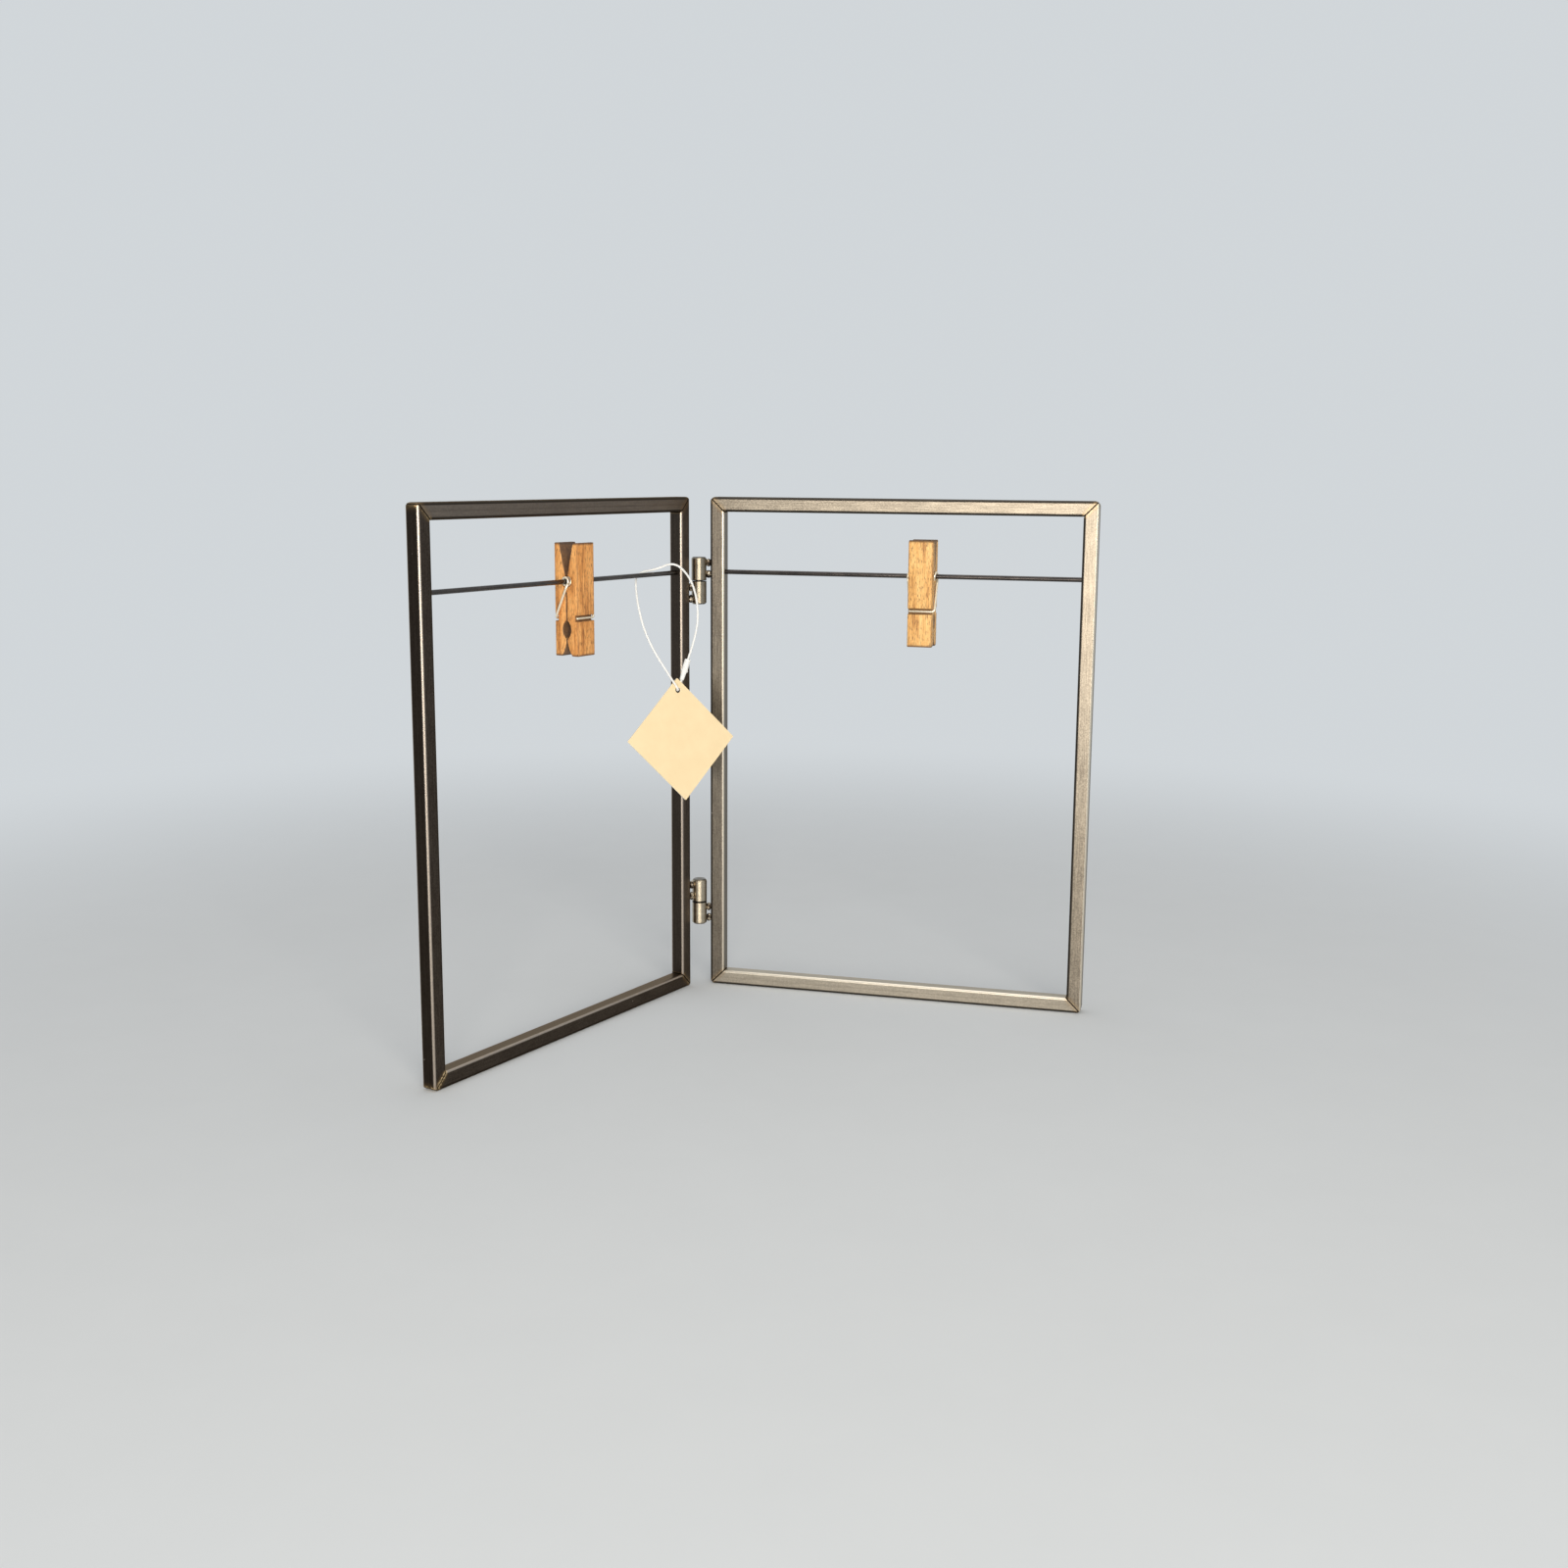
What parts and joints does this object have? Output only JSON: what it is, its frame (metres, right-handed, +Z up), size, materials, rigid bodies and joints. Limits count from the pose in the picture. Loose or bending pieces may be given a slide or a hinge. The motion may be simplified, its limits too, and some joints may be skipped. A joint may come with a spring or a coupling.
{
  "type": "hinged photo frame",
  "caption": "Hinged double photo frame of open square-tube panels, with a rod and a small wooden clothespin across each panel.",
  "frame": {"origin": "centre of the frame's box on the plane it stands on, Z = 0 at the undersides of the bottom rails", "axes": "+X along the right panel away from the hinge, -Y out of the right panel's front, +Z up"},
  "size_m": [0.227, 0.1717, 0.2159],
  "materials": {
    "satin_steel": "satin lacquered dark steel",
    "rod_steel": "drawn dark steel",
    "spring_wire": "bright zinc-plated wire",
    "clip_wood": "stained beech, satin",
    "tag_card": "uncoated cream card",
    "nylon": "milky nylon"
  },
  "bodies": {
    "right_panel": {"right_top_rail": "satin_steel", "right_bottom_rail": "satin_steel", "right_hinge_stile": "satin_steel", "right_outer_stile": "satin_steel", "upper_hinge_right_knuckle": "satin_steel", "upper_hinge_right_weld": "satin_steel", "upper_hinge_pin": "satin_steel", "lower_hinge_right_knuckle": "satin_steel", "lower_hinge_right_weld": "satin_steel", "lower_hinge_pin": "satin_steel"},
    "left_panel": {"left_top_rail": "satin_steel", "left_bottom_rail": "satin_steel", "left_hinge_stile": "satin_steel", "left_outer_stile": "satin_steel", "upper_hinge_left_knuckle": "satin_steel", "upper_hinge_left_weld": "satin_steel", "lower_hinge_left_knuckle": "satin_steel", "lower_hinge_left_weld": "satin_steel"},
    "right_rod_body": {"right_rod": "rod_steel"},
    "right_clip": {"right_clip_rear_half": "clip_wood", "right_clip_spring": "spring_wire"},
    "right_clip_front": {"right_clip_front_half": "clip_wood"},
    "left_rod_body": {"left_rod": "rod_steel"},
    "left_clip": {"left_clip_rear_half": "clip_wood", "left_clip_spring": "spring_wire"},
    "left_clip_front": {"left_clip_front_half": "clip_wood"},
    "tag": {"tag_card": "tag_card", "tag_loop": "nylon", "tag_lock": "nylon"}
  },
  "joints": [
    {"name": "frame_fold", "type": "hinge", "parent": "right_panel", "child": "left_panel", "pos_m": [-0.0561, 0.07673, 0.10795], "axis": [0, 0, 1], "range_deg": [-130, 107.2]},
    {"name": "right_rod_turn", "type": "hinge", "parent": "right_panel", "child": "right_rod_body", "pos_m": [0.03095, 0.08141, 0.1839], "axis": [1, 0, 0], "range_deg": [-35, 35]},
    {"name": "right_clip_slide", "type": "slide", "parent": "right_rod_body", "child": "right_clip", "axis": [1, 0, 0], "range_m": [-0.0777, 0.0578]},
    {"name": "right_clip_squeeze", "type": "hinge", "parent": "right_clip", "child": "right_clip_front", "pos_m": [0.0409, 0.08141, 0.1839], "axis": [-1, 0, 0], "range_deg": [0, 17], "stiffness_Nm_per_rad": 0.12, "springref_deg": -20.05, "deforming": ["right_clip_spring"]},
    {"name": "left_rod_turn", "type": "hinge", "parent": "left_panel", "child": "left_rod_body", "pos_m": [-0.08631, -0.00504, 0.1839], "axis": [0.2957, 0.9553, 0], "range_deg": [-35, 35]},
    {"name": "left_clip_slide", "type": "slide", "parent": "left_rod_body", "child": "left_clip", "axis": [0.2957, 0.9553, 0], "range_m": [-0.0752, 0.0295]},
    {"name": "left_clip_squeeze", "type": "hinge", "parent": "left_clip", "child": "left_clip_front", "pos_m": [-0.08407, 0.00217, 0.1839], "axis": [-0.2957, -0.9553, 0], "range_deg": [0, 17], "stiffness_Nm_per_rad": 0.12, "springref_deg": -20.05, "deforming": ["left_clip_spring"]},
    {"name": "tag_turn", "type": "hinge", "parent": "left_panel", "child": "tag", "pos_m": [-0.07062, 0.04564, 0.1839], "axis": [0.1945, -0.4204, -0.8863], "range_deg": [-27.4, 33.14]}
  ],
  "couplings": [
    {"joint": "tag_turn", "follows": "frame_fold", "ratio": -0.25187}
  ]
}
